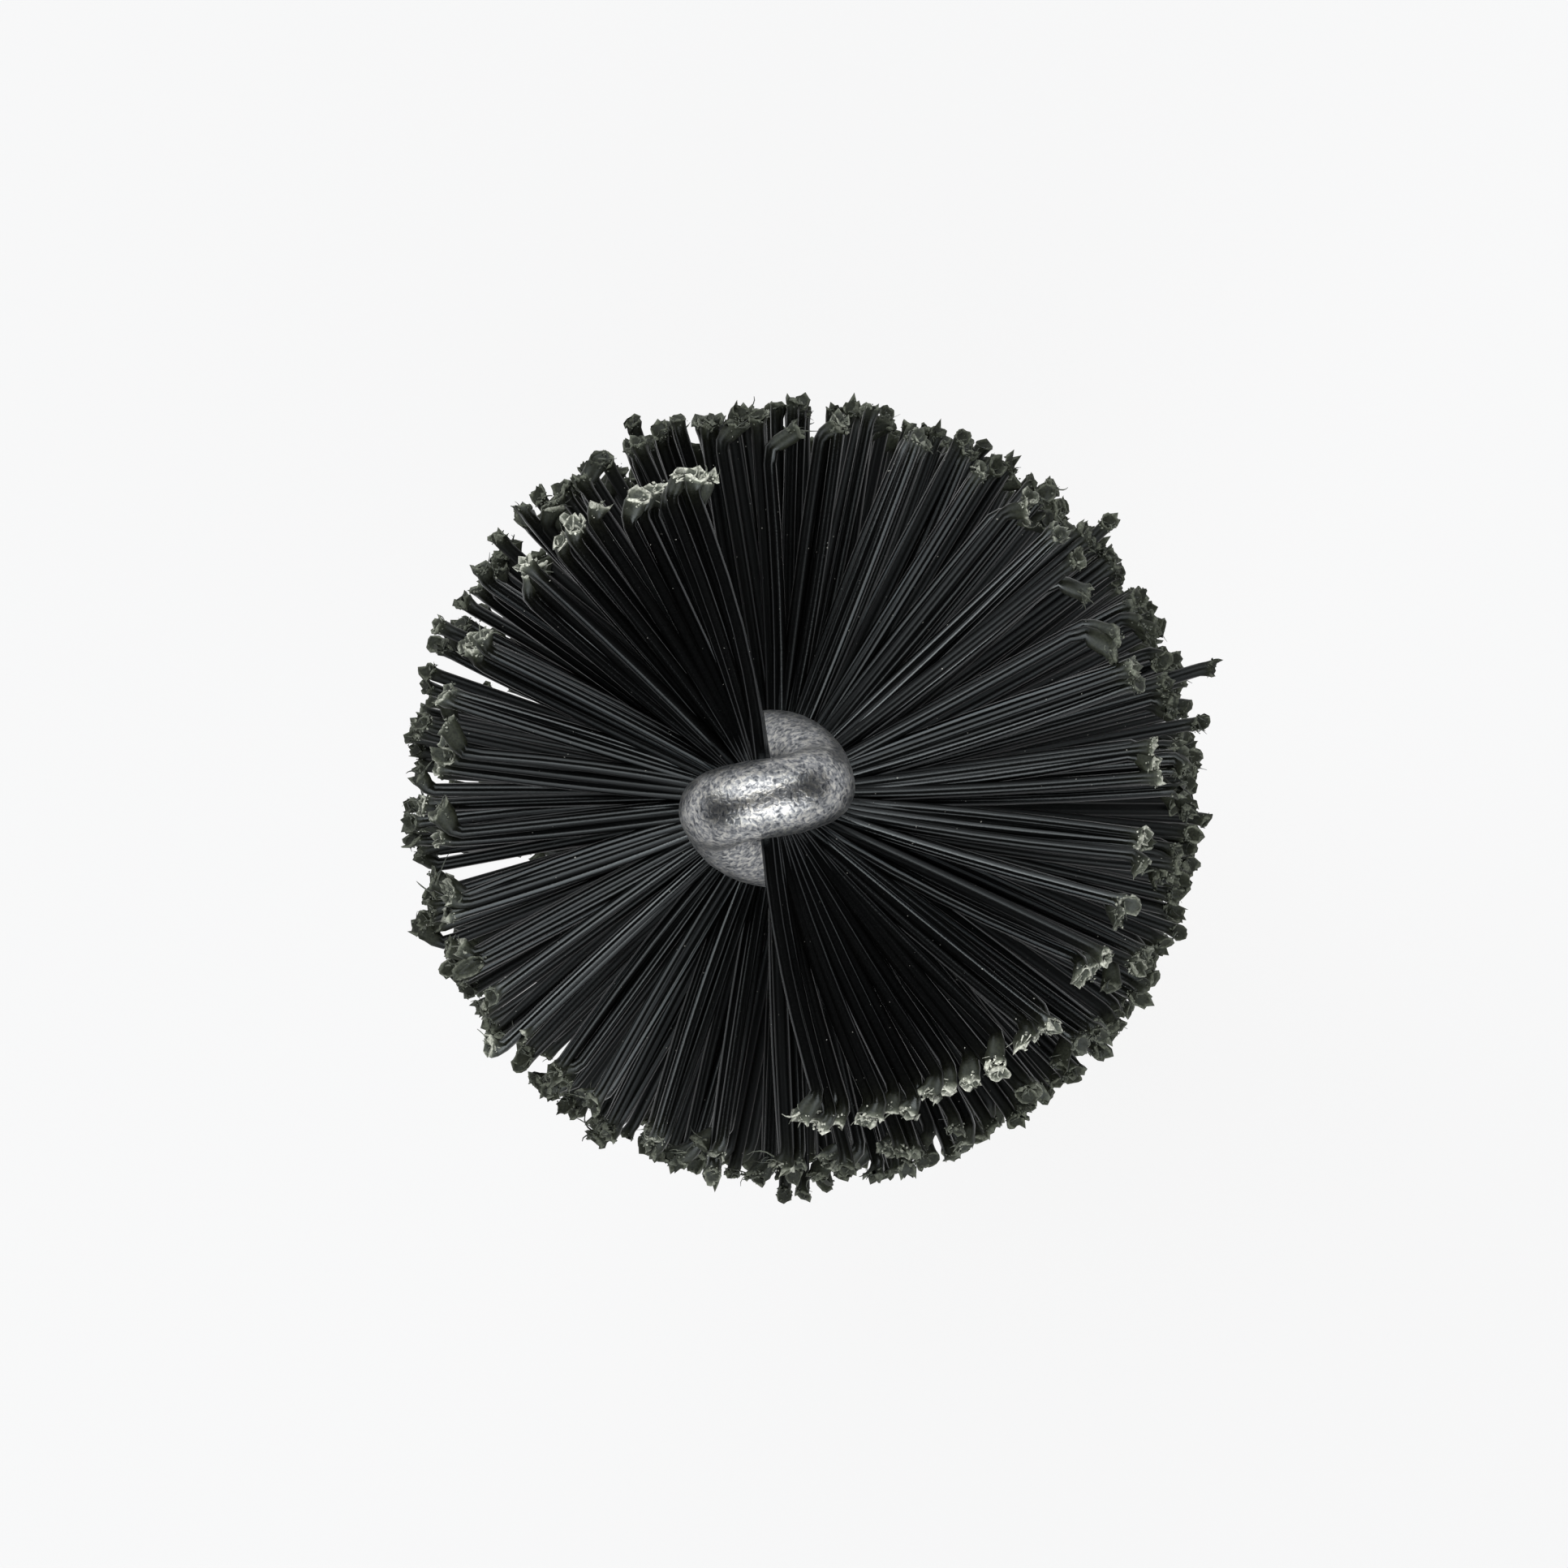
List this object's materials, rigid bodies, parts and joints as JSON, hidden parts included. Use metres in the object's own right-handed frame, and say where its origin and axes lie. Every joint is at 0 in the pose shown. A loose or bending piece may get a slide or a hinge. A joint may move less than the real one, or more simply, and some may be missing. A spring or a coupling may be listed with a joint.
{
  "type": "twisted wire cleaning brush",
  "caption": "Slim round brush of black nylon filaments held in a folded, twisted steel wire, on a turned wooden handle, for cleaning the valve casings of brass instruments.",
  "frame": {"origin": "centre of the flat base of the handle's brass cap, which the brush stands on", "axes": "+Z along the brush's axis, from the base to the wire loop at the tip; +Y along the hang hole"},
  "size_m": [0.0214, 0.0214, 0.23],
  "materials": {
    "galvanised_wire": "hammered grey zinc on steel",
    "nylon": "black drawn nylon with an olive tint at the cut ends",
    "vinyl": "soft black vinyl tube",
    "steel": "plain turned steel",
    "brass": "lacquered brass with fine turning marks",
    "beech": "oiled beech"
  },
  "bodies": {
    "root": {"core_wire": "galvanised_wire", "bristle_row_01": "nylon", "bristle_row_02": "nylon", "bristle_row_03": "nylon", "bristle_row_04": "nylon", "bristle_row_05": "nylon", "bristle_row_06": "nylon", "bristle_row_07": "nylon", "bristle_row_08": "nylon", "bristle_row_09": "nylon", "bristle_row_10": "nylon", "bristle_row_11": "nylon", "bristle_row_12": "nylon", "stem_sleeve": "vinyl", "stem_bush": "steel", "ferrule": "brass", "ferrule_pins": "brass", "handle_grip": "beech", "hang_eyelet": "brass", "eyelet_washer": "brass", "butt_cap": "brass", "cap_screw": "steel"}
  },
  "joints": []
}
